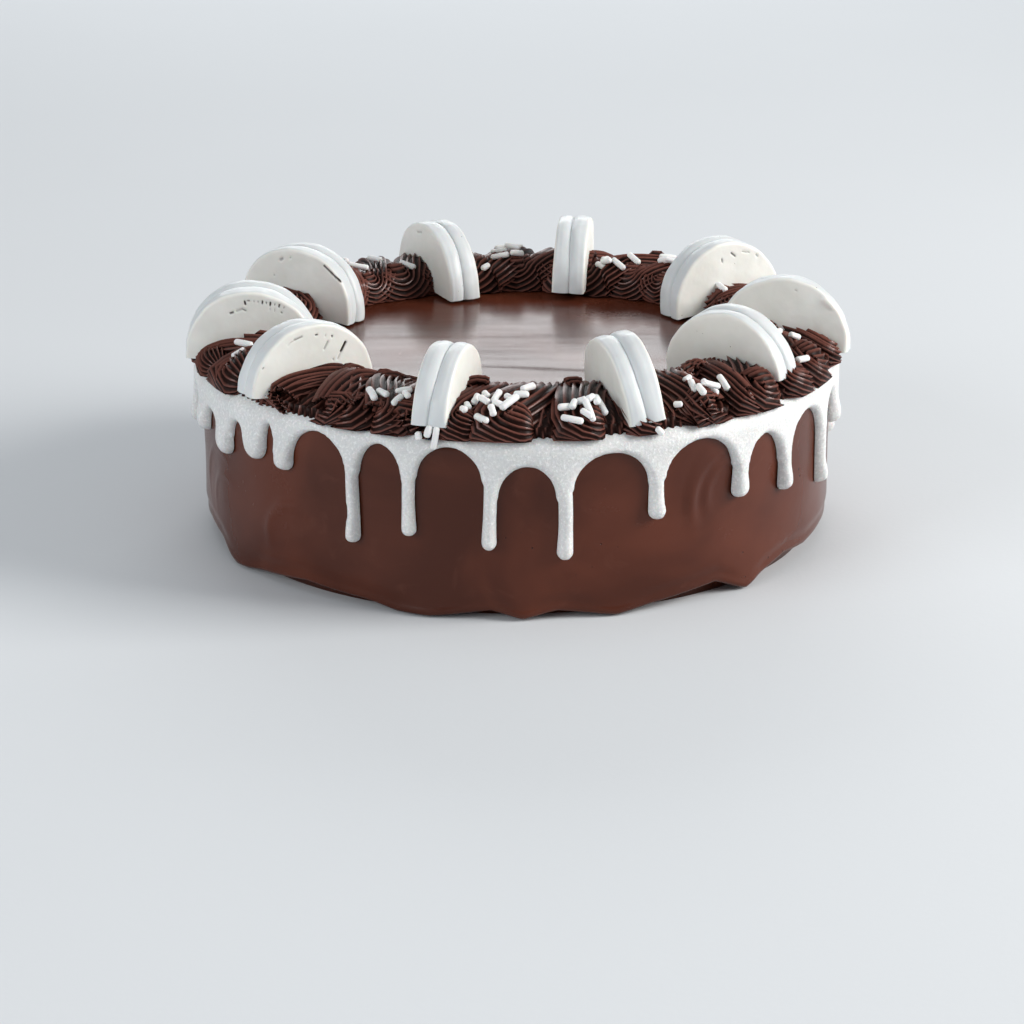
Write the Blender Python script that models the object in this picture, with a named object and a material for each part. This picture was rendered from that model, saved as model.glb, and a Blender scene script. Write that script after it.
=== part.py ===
# Uncut chocolate layer cake, about 26 cm across: a glazed body, a poured white collar
# with drips, a piped chocolate border with sprinkles, and ten half biscuits standing in it.
# Metres, +Z up. The origin is the centre of the flat underside. Angles run anticlockwise
# from +X, seen from above, so 270 degrees is the front.
import math
import random

import bmesh
import bpy
from mathutils import Matrix, Vector
from mathutils.bvhtree import BVHTree

MM = 0.001
GAP = 0.35 * MM

# Glazed body
CAKE_RADIUS = 126.3 * MM
CAKE_HEIGHT = 70.0 * MM
TOP_ROUNDING = 5.0 * MM
SHOULDER_RADIUS = CAKE_RADIUS - TOP_ROUNDING
SHOULDER_HEIGHT = CAKE_HEIGHT - TOP_ROUNDING
BODY_COLUMNS = 80
BODY_ROWS = 9
CORE_RADIUS = 118.0 * MM
LIP_RADIUS = 125.2 * MM
LIP_HEIGHT = 4.2 * MM
LIP_WAVES = ((2, 0.9, 1.3 * MM), (5, 2.1, 0.9 * MM), (11, 0.4, 0.7 * MM))
FOOT_CLEARANCE = 0.4 * MM
FOOT_SPREAD = 2.8 * MM
# Where the glaze ran down to the underside: the angle and half width in degrees.
FEET = (
    (24, 4), (58, 6), (97, 3), (128, 5), (163, 4), (211, 4), (255, 7), (271, 3), (287, 4.5), (313.6, 2.4),
)
GLAZE_DIPS = ((3, 1.7, 0.25 * MM), (7, 0.3, 0.2 * MM), (13, 4.0, 0.12 * MM))

# White collar and its drips
COLLAR_THICKNESS = 2.4 * MM
COLLAR_EDGE_THICKNESS = 1.5 * MM
COLLAR_INNER_RADIUS = 119.0 * MM
COLLAR_ROWS = 9
STEM_THICKNESS = 3.1 * MM
DRIP_BULB = 1.1 * MM
DRIP_SIDE_THICKNESS = 1.1 * MM
ARCH_SHOULDER = 13.0 * MM
# Each drip that runs down the front: its angle, the height of its tip, its width, and the
# height of the arch between it and the next.
FRONT_DRIPS = (
    (186, 43, 8, 62), (197, 47, 9, 58.6), (208.7, 44.5, 11, 60.3), (219, 48.5, 12, 64.7),
    (226.6, 48, 9, 66), (241.4, 26, 6, 65.7), (251.8, 31.5, 6, 66), (265.5, 28, 6, 60.2),
    (278, 24, 6.5, 64), (294, 36.5, 7, 64.8), (311, 38.5, 7.5, 60.6), (323, 35, 7, 62.9),
    (338, 28.5, 6.5, 63), (349, 46, 8, 61),
)
BACK_DRIPS = 10
BACK_TIP_HEIGHTS = (27, 49)
BACK_ARCH_TOPS = (66, 60, 64.5, 61)
ARCH_SHARES = (0.06, 0.3, 0.7, 0.94)

# Piped border
LOOPS = 36
COLUMNS_PER_LOOP = 8
LOOP_UNEVENNESS = 0.16
# The section of the border at a loop's crest: radius, height, and how far the strand
# has moved round the cake there, in loops. The last three points are its underside.
BORDER_SECTION = (
    (91.0, 70.35, 0.42), (88.8, 75.5, 0.5), (93.0, 81.8, 0.42), (101.5, 84.6, 0.2),
    (112.0, 84.4, -0.05), (122.5, 81.6, -0.35), (129.8, 76.8, -0.6), (130.2, 70.9, -0.7),
    (119.3, 73.1, -0.3), (116.8, 70.35, 0.0),
)
BORDER_SHOWN_POINTS = 8
BORDER_MIDDLE = (108.7, 76.0)
CREASE_DEPTH = 4.2 * MM
RIDGE_DEPTH = 1.3 * MM

# Half biscuits
BISCUIT_RADIUS = 26.8 * MM
BISCUIT_HEIGHT = 28.4 * MM
BISCUIT_THICKNESS = 14.7 * MM
BISCUIT_SEGMENTS = 18
# How each stands: its angle round the cake, turn about the upright, lean to the side and rise
# of its outer end in degrees, then the distance of its middle from the cake's axis and the
# height of its cut side there in millimetres, and its size against the usual.
BISCUITS = (
    (354.7, -5.8, -5.6, -2.7, 106.6, 74.0, 1.007),
    (33.6, -5.2, -0.5, 6.6, 102.7, 73.6, 0.997),
    (76.3, 7.6, 1.9, 0.0, 103.4, 72.8, 0.993),
    (109.5, 8.8, -2.3, 4.1, 100.2, 72.6, 0.993),
    (152.5, 3.3, 0.6, 7.3, 100.5, 73.9, 0.989),
    (190.4, -10.6, -3.7, 0.5, 105.9, 72.9, 1.02),
    (221.6, -11.1, -0.4, 4.8, 106.9, 72.8, 1.003),
    (255.9, -1.0, -1.7, 5.3, 105.6, 73.1, 0.963),
    (293.1, -6.2, 8.2, 1.8, 102.8, 73.7, 1.012),
    (325.6, 0.9, 1.9, 8.0, 99.8, 74.4, 0.977),
)
# Across the thickness: the place as a share of half the thickness, and the outline's size there.
BISCUIT_LAYERS = ((-1, 0.91), (-0.75, 0.98), (-0.35, 1), (0, 0.935), (0.35, 1), (0.75, 0.98), (1, 0.91))

# Sprinkles
SPRINKLE_LENGTH = 8.0 * MM
SPRINKLE_RADIUS = 1.15 * MM
SPRINKLE_SIDES = 5
SPRINKLE_SINK = 0.7 * MM
SPRINKLE_CLEARANCE = 2.0 * MM
# Each scattering: the angle, how far it spreads in degrees, and how many sprinkles it has.
SPRINKLE_SPOTS = (
    (20, 8, 2), (62, 6, 4), (91, 6, 3), (122, 4, 2), (171, 8, 2), (203, 4, 2),
    (239, 6, 3), (268, 5, 6), (281, 3, 5), (307, 6, 4), (341, 5, 2),
)


def clear_scene():
    for thing in list(bpy.data.objects):
        bpy.data.objects.remove(thing, do_unlink=True)


def material(name, colour, roughness, metallic=0.0):
    made = bpy.data.materials.new(name)
    made.use_nodes = True
    shader = made.node_tree.nodes["Principled BSDF"]
    shader.inputs["Base Color"].default_value = (*colour, 1.0)
    shader.inputs["Roughness"].default_value = roughness
    shader.inputs["Metallic"].default_value = metallic
    return made


def finished(name, shape, finish, sharp_degrees=40):
    """Makes the bmesh an object with the given material, shaded smooth away from its edges."""
    bmesh.ops.recalc_face_normals(shape, faces=shape.faces)
    if shape.calc_volume(signed=True) < 0:
        bmesh.ops.reverse_faces(shape, faces=shape.faces)
    mesh = bpy.data.meshes.new(name)
    shape.to_mesh(mesh)
    shape.free()
    mesh.materials.append(finish)
    mesh.shade_smooth()
    mesh.set_sharp_from_angle(angle=math.radians(sharp_degrees))
    thing = bpy.data.objects.new(name, mesh)
    bpy.context.scene.collection.objects.link(thing)
    return thing


def apply_boolean(thing, operation, solver, other=None, collection=None):
    cut = thing.modifiers.new("fuse or cut", "BOOLEAN")
    cut.operation = operation
    cut.solver = solver
    if collection:
        cut.operand_type = "COLLECTION"
        cut.collection = collection
    else:
        cut.object = other
    bpy.context.view_layer.update()
    evaluated = thing.evaluated_get(bpy.context.evaluated_depsgraph_get())
    result = bpy.data.meshes.new_from_object(evaluated)
    thing.modifiers.clear()
    thing.data = result


def turned(rows, columns, place, closed_section):
    """Spins a section of so many rows about +Z, then moves each point to place(row, column)."""
    shape = bmesh.new()
    row_of = shape.verts.layers.int.new("row")
    section = []
    for row in range(rows):
        point = shape.verts.new((1, 0, row))
        point[row_of] = row
        section.append(point)
    pairs = list(zip(section, section[1:]))
    if closed_section:
        pairs.append((section[-1], section[0]))
    edges = [shape.edges.new(pair) for pair in pairs]
    bmesh.ops.spin(
        shape, geom=section + edges, cent=(0, 0, 0), axis=(0, 0, 1), angle=2 * math.pi,
        steps=columns, use_merge=True,
    )
    for point in shape.verts:
        turn = math.atan2(point.co.y, point.co.x) / (2 * math.pi)
        point.co = place(point[row_of], round(turn * columns) % columns)
    return shape


def at(angle, radius, height):
    return Vector((radius * math.cos(angle), radius * math.sin(angle), height))


def bump(distance):
    """1 at no distance, falling smoothly to 0 at a distance of 1 and beyond."""
    return 0.5 + 0.5 * math.cos(math.pi * min(1.0, abs(distance)))


def turn_between(first, second):
    """The signed angle in degrees from the second direction to the first."""
    return (first - second + 180) % 360 - 180


def foot_at(angle):
    degrees = math.degrees(angle)
    return max(bump(turn_between(degrees, centre) / (1.6 * half)) for centre, half in FEET)


def lip_height(angle):
    waves = sum(size * math.sin(count * angle + phase) for count, phase, size in LIP_WAVES)
    foot = min(1.0, 1.35 * foot_at(angle))
    return (LIP_HEIGHT + waves) * (1 - foot) + FOOT_CLEARANCE * foot


def glaze_dip(angle, height):
    """The glaze's shallow hollows, deepest halfway down the side and none at the collar."""
    share = bump((height - 0.35 * CAKE_HEIGHT) / (0.35 * CAKE_HEIGHT))
    deep = sum(size * (1 + math.sin(count * angle + phase)) for count, phase, size in GLAZE_DIPS)
    return deep * share


def shoulder(angle, degrees, radius):
    """A point on the rounding between side and top: 0 degrees is level, 90 is straight up."""
    turn = math.radians(degrees)
    return at(angle, SHOULDER_RADIUS + radius * math.cos(turn), SHOULDER_HEIGHT + radius * math.sin(turn))


def glazed_cake():
    def place(row, column):
        angle = 2 * math.pi * column / BODY_COLUMNS
        lip = lip_height(angle)
        spread = FOOT_SPREAD * foot_at(angle)
        side = (
            (CORE_RADIUS, 0),
            (CORE_RADIUS + 0.5 * MM, lip),
            (LIP_RADIUS - 0.8 * MM + spread, lip),
            (LIP_RADIUS + spread, lip + 1.4 * MM),
            (CAKE_RADIUS - 0.4 * MM, lip + 6.0 * MM),
            (CAKE_RADIUS, 24.0 * MM),
        )
        if row < len(side):
            radius, height = side[row]
            dip = glaze_dip(angle, height) if row >= 4 else 0
            return at(angle, radius - dip, height)
        return shoulder(angle, 45 * (row - len(side)), TOP_ROUNDING)

    shape = turned(BODY_ROWS, BODY_COLUMNS, place, closed_section=False)
    rims = [edge for edge in shape.edges if edge.is_boundary]
    bmesh.ops.holes_fill(shape, edges=rims, sides=0)
    finish = material("chocolate glaze", (0.075, 0.030, 0.020), 0.22)
    return finished("glazed_cake", shape, finish)


def all_drips(draw):
    """Every drip as its angle, tip height, width and the arch after it, in order round the cake."""
    drips = [(angle, tip * MM, width * MM, arch * MM) for angle, tip, width, arch in FRONT_DRIPS]
    first = FRONT_DRIPS[-1][0] - 360
    step = (FRONT_DRIPS[0][0] - first) / (BACK_DRIPS + 1)
    for number in range(1, BACK_DRIPS + 1):
        angle = first + step * (number + draw.uniform(-0.18, 0.18))
        tip = draw.uniform(*BACK_TIP_HEIGHTS) * MM
        width = draw.uniform(6, 9) * MM
        arch = BACK_ARCH_TOPS[number % len(BACK_ARCH_TOPS)] * MM
        drips.append((angle % 360, tip, width, arch))
    return sorted(drips)


def collar_columns(drips):
    """The columns of the collar: angle in degrees, lower edge, and whether it lies in a drip's middle."""
    columns = []
    for number, (angle, tip, width, top) in enumerate(drips):
        half = math.degrees(0.5 * width / CAKE_RADIUS)
        columns.append((angle - half, tip + 0.45 * width, 0.0))
        columns.append((angle, tip, 1.0))
        columns.append((angle + half, tip + 0.45 * width, 0.0))
        following, next_tip, next_width, _ = drips[(number + 1) % len(drips)]
        start = angle + half
        span = turn_between(following, angle) - half - math.degrees(0.5 * next_width / CAKE_RADIUS)
        for share in ARCH_SHARES:
            across = 2 * share - 1
            fall = ARCH_SHOULDER * (1 - math.sqrt(1 - across * across))
            floor = tip + width if share < 0.5 else next_tip + next_width
            columns.append((start + span * share, max(top - fall, min(top, floor)), -1.0))
    return columns


def collar_thickness(row, share, middle):
    """How thick the icing is on its outer side: full at a drip's middle, thin along its sides."""
    if middle > 0:
        return (COLLAR_THICKNESS, STEM_THICKNESS + DRIP_BULB, DRIP_SIDE_THICKNESS)[row - 3]
    edge = DRIP_SIDE_THICKNESS if middle == 0 else COLLAR_EDGE_THICKNESS
    return COLLAR_THICKNESS + share * (edge - COLLAR_THICKNESS)


def drip_icing():
    columns = collar_columns(all_drips(random.Random(7)))
    inner_rounding = TOP_ROUNDING + 1.8 * GAP
    inner_radius = SHOULDER_RADIUS + inner_rounding
    side_top = SHOULDER_HEIGHT + 1.5 * MM

    def place(row, column):
        degrees, lower, middle = columns[column]
        angle = math.radians(degrees)
        if row == 0:
            return at(angle, COLLAR_INNER_RADIUS, CAKE_HEIGHT + 1.2 * GAP)
        if row == 1:
            return shoulder(angle, 70, inner_rounding + COLLAR_THICKNESS - 0.6 * MM)
        if row == 2:
            return shoulder(angle, 30, inner_rounding + COLLAR_THICKNESS)
        if row in (3, 4, 5):
            share = (0.3, 0.72, 1.0)[row - 3]
            thick = collar_thickness(row, share, middle)
            return at(angle, inner_radius + thick, side_top + share * (lower - side_top))
        if row == 6:
            return at(angle, inner_radius, lower)
        return shoulder(angle, 20 if row == 7 else 60, inner_rounding)

    shape = turned(COLLAR_ROWS, len(columns), place, closed_section=True)
    finish = material("white icing", (0.80, 0.79, 0.76), 0.35)
    return finished("drip_icing", shape, finish)


def loop_starts(draw):
    """The angle at which each loop of the border starts, a little unevenly spaced."""
    step = 2 * math.pi / LOOPS
    starts = [step * (loop + draw.uniform(-LOOP_UNEVENNESS, LOOP_UNEVENNESS)) for loop in range(LOOPS)]
    return starts + [starts[0] + 2 * math.pi]


def border_surface(starts, heights):
    """Returns place(row, column) for the border's loops of ridged strands."""
    middle = Vector((BORDER_MIDDLE[0] * MM, 0, BORDER_MIDDLE[1] * MM))

    def place(row, column):
        loop, step = divmod(column, COLUMNS_PER_LOOP)
        share = step / COLUMNS_PER_LOOP
        width = starts[loop + 1] - starts[loop]
        radius, height, advance = BORDER_SECTION[row]
        angle = starts[loop] + width * share + advance * 2 * math.pi / LOOPS
        point = Vector((radius * MM, 0, height * MM))
        if row >= BORDER_SHOWN_POINTS:
            return at(angle, point.x, point.z)
        crease = 1 - math.sqrt(max(0.0, 1 - (2 * share - 1) ** 2))
        depth = CREASE_DEPTH * crease + (RIDGE_DEPTH if step % 2 == 0 else 0)
        lift = heights[loop] * math.sin(math.pi * share)
        inward = (middle - point).normalized()
        if row in (0, BORDER_SHOWN_POINTS - 1):
            inward.z = max(0.0, inward.z)
            lift = 0
            depth *= 0.7
        point += inward * depth
        return at(angle, point.x, point.z + lift)

    return place


def half_biscuit(scale, grow=0.0, layers=BISCUIT_LAYERS):
    """A half biscuit standing on its cut side, its bottom centre at the origin and its length along X."""
    radius = BISCUIT_RADIUS * scale
    shape = bmesh.new()
    bmesh.ops.create_circle(shape, cap_ends=True, radius=1.0, segments=BISCUIT_SEGMENTS)
    bmesh.ops.rotate(shape, verts=shape.verts, matrix=Matrix.Rotation(math.pi / 2, 3, "X"))
    cut = (BISCUIT_HEIGHT - BISCUIT_RADIUS) / BISCUIT_RADIUS
    bmesh.ops.bisect_plane(
        shape, geom=shape.verts[:] + shape.edges[:] + shape.faces[:], plane_co=(0, 0, -cut),
        plane_no=(0, 0, -1), clear_outer=True,
    )
    outline = {point: point.co.copy() for point in shape.verts}
    centre = Vector((0, 0, cut * radius))
    face = next(iter(shape.faces))
    previous = list(outline)
    for number, (place, size) in enumerate(layers):
        if number:
            inner = face
            extruded = bmesh.ops.extrude_face_region(shape, geom=[face])["geom"]
            face = next(item for item in extruded if isinstance(item, bmesh.types.BMFace))
            points = [item for item in extruded if isinstance(item, bmesh.types.BMVert)]
            for point in points:
                nearest = min(previous, key=lambda other: (other.co - point.co).length)
                outline[point] = outline[nearest]
            previous = points
            if number > 1:
                bmesh.ops.delete(shape, geom=[inner], context="FACES_ONLY")
        for point in previous:
            flat = outline[point]
            point.co = centre + flat * (radius * size + grow)
            point.co.y = place * (0.5 * BISCUIT_THICKNESS * scale + grow)
            if flat.z < -cut + 0.001:
                point.co.z = -grow
    return shape


def standing(angle, turn, lean, rise, centre, base):
    """The transform that stands a biscuit shape in the border."""
    tilt = Matrix.Rotation(-math.radians(rise), 4, "Y")
    side = Matrix.Rotation(math.radians(lean), 4, "X")
    yaw = Matrix.Rotation(math.radians(angle + turn), 4, "Z")
    return Matrix.Translation(at(math.radians(angle), centre * MM, base * MM)) @ yaw @ tilt @ side


def biscuits():
    finish = material("white coating", (0.78, 0.77, 0.72), 0.4)
    made = []
    for number, (*stance, scale) in enumerate(BISCUITS, start=1):
        shape = half_biscuit(scale)
        bmesh.ops.transform(shape, matrix=standing(*stance), verts=shape.verts)
        made.append(finished(f"biscuit_{number:02d}", shape, finish, sharp_degrees=50))
    return made


def clear_of_biscuits(points):
    """Whether every point keeps its distance from the flat faces of every biscuit."""
    for *stance, scale in BISCUITS:
        back = standing(*stance).inverted()
        for point in points:
            local = back @ point
            near = abs(local.y) < 0.5 * BISCUIT_THICKNESS * scale + SPRINKLE_CLEARANCE
            if near and abs(local.x) < BISCUIT_RADIUS * scale + SPRINKLE_CLEARANCE:
                return False
    return True


def sprinkle(place, direction):
    """A five-sided rod with domed ends, lying along a direction."""
    shape = bmesh.new()
    length = SPRINKLE_LENGTH - 1.2 * MM
    bmesh.ops.create_cone(
        shape, cap_ends=True, segments=SPRINKLE_SIDES, radius1=SPRINKLE_RADIUS,
        radius2=SPRINKLE_RADIUS, depth=length,
    )
    ends = [face for face in shape.faces if len(face.verts) == SPRINKLE_SIDES]
    for tips in bmesh.ops.poke(shape, faces=ends)["verts"]:
        tips.co.z *= 1 + 1.2 * MM / length
    turn = direction.to_track_quat("Z", "X").to_matrix().to_4x4()
    bmesh.ops.transform(shape, matrix=Matrix.Translation(place) @ turn, verts=shape.verts)
    return shape


def sprinkles(draw, border, finish):
    """Every sprinkle as its own object, in a collection to be fused to the border."""
    surface = BVHTree.FromObject(border, bpy.context.evaluated_depsgraph_get())
    collection = bpy.data.collections.new("sprinkles")
    bpy.context.scene.collection.children.link(collection)
    for centre, spread, count in SPRINKLE_SPOTS:
        placed = 0
        for _ in range(40 * count):
            angle = math.radians(centre + draw.uniform(-spread, spread))
            radius = draw.uniform(97, 124) * MM
            heading = draw.uniform(0, math.pi)
            level = Vector((math.cos(heading), math.sin(heading), 0)) * 0.5 * SPRINKLE_LENGTH
            middle = at(angle, radius, CAKE_HEIGHT + 30 * MM)
            hits = [surface.ray_cast(middle + step * level, Vector((0, 0, -1)))[0] for step in (1, 0, -1)]
            if None in hits or min(hit.z for hit in hits) < CAKE_HEIGHT + 6 * MM:
                continue
            first, under, second = hits
            place = (first + second) / 2
            place.z = max(place.z, under.z) + SPRINKLE_RADIUS - SPRINKLE_SINK
            if not clear_of_biscuits((first, place, second)):
                continue
            thing = finished("sprinkle", sprinkle(place, (first - second).normalized()), finish)
            bpy.context.scene.collection.objects.unlink(thing)
            collection.objects.link(thing)
            placed += 1
            if placed == count:
                break
    return collection


def keep_largest_piece(thing):
    """Drops any loose scrap that the cuts left beside the main piece."""
    shape = bmesh.new()
    shape.from_mesh(thing.data)
    unseen = set(shape.verts)
    pieces = []
    while unseen:
        start = unseen.pop()
        piece = {start}
        front = [start]
        while front:
            for edge in front.pop().link_edges:
                for other in edge.verts:
                    if other in unseen:
                        unseen.discard(other)
                        piece.add(other)
                        front.append(other)
        pieces.append(piece)
    largest = max(pieces, key=len)
    loose = [point for point in shape.verts if point not in largest]
    bmesh.ops.delete(shape, geom=loose, context="VERTS")
    shape.to_mesh(thing.data)
    shape.free()


def piped_border():
    draw = random.Random(3)
    starts = loop_starts(draw)
    heights = [draw.uniform(-1.3, 0.5) * MM for _ in range(LOOPS)]
    place = border_surface(starts, heights)
    shape = turned(len(BORDER_SECTION), LOOPS * COLUMNS_PER_LOOP, place, closed_section=True)
    chocolate = material("dark chocolate cream", (0.055, 0.020, 0.014), 0.4)
    border = finished("piped_border", shape, chocolate)
    for *stance, scale in BISCUITS:
        shape = half_biscuit(scale, grow=GAP, layers=((-1, 1), (1, 1)))
        bmesh.ops.transform(shape, matrix=standing(*stance), verts=shape.verts)
        cutter = finished("biscuit_slot", shape, chocolate)
        apply_boolean(border, "DIFFERENCE", "MANIFOLD", other=cutter)
        bpy.data.objects.remove(cutter, do_unlink=True)
    collection = sprinkles(draw, border, material("sprinkle white", (0.82, 0.82, 0.80), 0.5))
    apply_boolean(border, "UNION", "MANIFOLD", collection=collection)
    for thing in list(collection.objects):
        bpy.data.objects.remove(thing, do_unlink=True)
    bpy.data.collections.remove(collection)
    keep_largest_piece(border)
    return border


clear_scene()
glazed_cake()
drip_icing()
biscuits()
piped_border()
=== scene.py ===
import math
import random

import bmesh
import bpy
import numpy as np
from mathutils import Matrix, Vector
from mathutils.bvhtree import BVHTree


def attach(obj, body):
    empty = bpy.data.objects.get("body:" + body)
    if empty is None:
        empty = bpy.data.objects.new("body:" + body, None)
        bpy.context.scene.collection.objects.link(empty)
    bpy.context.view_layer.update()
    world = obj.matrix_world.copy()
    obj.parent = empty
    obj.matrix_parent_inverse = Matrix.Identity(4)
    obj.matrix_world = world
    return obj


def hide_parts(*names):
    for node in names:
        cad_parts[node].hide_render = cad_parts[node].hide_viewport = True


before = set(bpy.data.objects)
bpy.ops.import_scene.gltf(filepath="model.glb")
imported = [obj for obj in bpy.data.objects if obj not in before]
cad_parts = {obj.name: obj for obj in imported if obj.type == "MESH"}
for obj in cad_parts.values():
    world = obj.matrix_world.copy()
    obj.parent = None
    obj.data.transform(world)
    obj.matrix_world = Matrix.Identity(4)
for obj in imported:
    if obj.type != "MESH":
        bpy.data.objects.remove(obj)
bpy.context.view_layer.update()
mm = 0.001
fullTurn = 2 * math.pi
print("frame loaded:", sorted(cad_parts))


# A value in a material's nodes. Plain maths on it adds Math nodes.
class Wire:
    def __init__(self, tree, socket):
        self.tree = tree
        self.socket = socket

    def worked(self, operation, first, second):
        made = self.tree.nodes.new("ShaderNodeMath")
        made.operation = operation
        feed(made.inputs[0], first)
        feed(made.inputs[1], second)
        return Wire(self.tree, made.outputs[0])

    def __add__(self, other):
        return self.worked("ADD", self, other)

    def __radd__(self, other):
        return self.worked("ADD", other, self)

    def __sub__(self, other):
        return self.worked("SUBTRACT", self, other)

    def __rsub__(self, other):
        return self.worked("SUBTRACT", other, self)

    def __mul__(self, other):
        return self.worked("MULTIPLY", self, other)

    def __rmul__(self, other):
        return self.worked("MULTIPLY", other, self)


def feed(socket, value):
    if isinstance(value, Wire):
        value.tree.links.new(value.socket, socket)
    else:
        socket.default_value = value


# A material under way. node() adds any node except a sum.
class Finish:
    def __init__(self, name, constants):
        self.material = bpy.data.materials.new(name)
        self.material.use_nodes = True
        self.tree = self.material.node_tree
        self.shader = self.tree.nodes["Principled BSDF"]
        for socket, value in constants.items():
            self.shader.inputs[socket].default_value = value

    def node(self, kind, settings, inputs, output=0):
        made = self.tree.nodes.new("ShaderNode" + kind)
        for name, value in settings.items():
            setattr(made, name, value)
        for key, value in inputs.items():
            feed(made.inputs[key], value)
        return Wire(self.tree, made.outputs[output])

    def noise(self, scale, detail=2.0, roughness=0.5, distortion=0.0):
        inputs = {"Vector": self.place(), "Scale": scale, "Detail": detail}
        inputs.update({"Roughness": roughness, "Distortion": distortion})
        return self.node("TexNoise", {}, inputs)

    def cells(self, scale):
        return self.node("TexVoronoi", {}, {"Vector": self.place(), "Scale": scale}, "Distance")

    def place(self):
        return self.node("TexCoord", {}, {}, "Object")

    def attribute(self, name):
        return self.node("Attribute", {"attribute_name": name}, {}, "Fac")

    # value from low to high becomes 0 to 1, with smooth ends
    def step(self, value, low, high):
        inputs = {"Value": value, "From Min": low, "From Max": high}
        return self.node("MapRange", {"interpolation_type": "SMOOTHSTEP"}, inputs)

    def mix(self, factor, first, second):
        return self.node("Mix", {"data_type": "RGBA"}, {0: factor, 6: first, 7: second}, 2)

    def bump(self, height, distance):
        return self.node("Bump", {}, {"Height": height, "Distance": distance})

    def done(self, colour, roughness, normal, coat=0.0):
        feed(self.shader.inputs["Base Color"], colour)
        feed(self.shader.inputs["Roughness"], roughness)
        feed(self.shader.inputs["Normal"], normal)
        feed(self.shader.inputs["Coat Weight"], coat)
        return self.material


def shade(red, green, blue):
    return (red, green, blue, 1.0)


def smoothCurve(points, count):
    # evenly spaced points on a smooth curve through the given ones, and its unit normals to the left
    points = np.array(points, float)
    reach = np.concatenate([[0], np.cumsum(np.hypot(*np.diff(points, axis=0).T))])
    slopes = np.gradient(points, reach, axis=0)
    fine = np.linspace(0, reach[-1], 40 * len(points))
    part = np.clip(np.searchsorted(reach, fine, side="right") - 1, 0, len(points) - 2)
    span = (reach[part + 1] - reach[part])[:, None]
    share = ((fine - reach[part]) / span[:, 0])[:, None]
    curve = (
        (2 * share**3 - 3 * share**2 + 1) * points[part]
        + (share**3 - 2 * share**2 + share) * span * slopes[part]
        + (3 * share**2 - 2 * share**3) * points[part + 1]
        + (share**3 - share**2) * span * slopes[part + 1]
    )
    walked = np.concatenate([[0], np.cumsum(np.hypot(*np.diff(curve, axis=0).T))])
    even = np.linspace(0, walked[-1], count)
    placed = np.stack([np.interp(even, walked, curve[:, axis]) for axis in (0, 1)], axis=1)
    heading = np.gradient(placed, even, axis=0)
    heading /= np.hypot(*heading.T)[:, None]
    return placed, np.stack([-heading[:, 1], heading[:, 0]], axis=1), walked[-1]


def aroundCake(angle, radius, height):
    return np.stack([radius * np.cos(angle), radius * np.sin(angle), height + 0 * angle], axis=1)


def flatGrid(shape, columns, rows):
    # adds a grid, and gives its points with the column and row of each
    points = bmesh.ops.create_grid(shape, x_segments=columns, y_segments=rows, size=0.5)["verts"]
    spots = np.array([point.co for point in points]) + 0.5
    return points, np.rint(spots[:, 0] * columns), np.rint(spots[:, 1] * rows).astype(int)


def spotAt(angle, radius, height):
    return Vector((radius * math.cos(angle), radius * math.sin(angle), height))


def wrappedGrid(columns, rows, place, paints=()):
    # a grid with its two ends joined round the cake; place gives where each column and row goes,
    # and a list of values for each name in paints
    shape = bmesh.new()
    layers = [shape.verts.layers.float.new(name) for name in paints]
    points, column, row = flatGrid(shape, columns, rows)
    placed, *values = place(fullTurn * column / columns, row)
    for layer, painted in zip(layers, values):
        for point, value in zip(points, painted):
            point[layer] = value
    for point, spot in zip(points, placed):
        point.co = spot
    bmesh.ops.remove_doubles(shape, verts=shape.verts, dist=1e-6)
    return shape


def shownObject(name, data):
    thing = bpy.data.objects.new(name, data)
    bpy.context.scene.collection.objects.link(thing)
    return thing


def madePiece(name, shape, material, replaced, levels=0):
    bmesh.ops.recalc_face_normals(shape, faces=shape.faces)
    if shape.calc_volume(signed=True) < 0:
        bmesh.ops.reverse_faces(shape, faces=shape.faces)
    mesh = bpy.data.meshes.new(name)
    shape.to_mesh(mesh)
    shape.free()
    mesh.materials.append(material)
    mesh.shade_smooth()
    piece = shownObject(name, mesh)
    if levels:
        softer = piece.modifiers.new("softer", "SUBSURF")
        softer.levels = levels
        softer.render_levels = levels
    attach(piece, "root")
    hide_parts(*replaced)
    print("made", name, len(mesh.polygons), "faces")
    return piece


def addShape(whole, extra):
    # puts one bmesh into another and frees it
    scrap = bpy.data.meshes.new("scrap")
    extra.to_mesh(scrap)
    extra.free()
    whole.from_mesh(scrap)
    bpy.data.meshes.remove(scrap)


def rimOf(shape):
    return [edge for edge in shape.edges if edge.is_boundary]


def bulge(distance):
    # 1 at 0, falling smoothly to 0 at a distance of 1 and beyond
    return 0.5 + 0.5 * np.cos(np.pi * np.minimum(1.0, np.abs(distance)))


def turnBetween(first, second):
    return (first - second + 180) % 360 - 180


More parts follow.
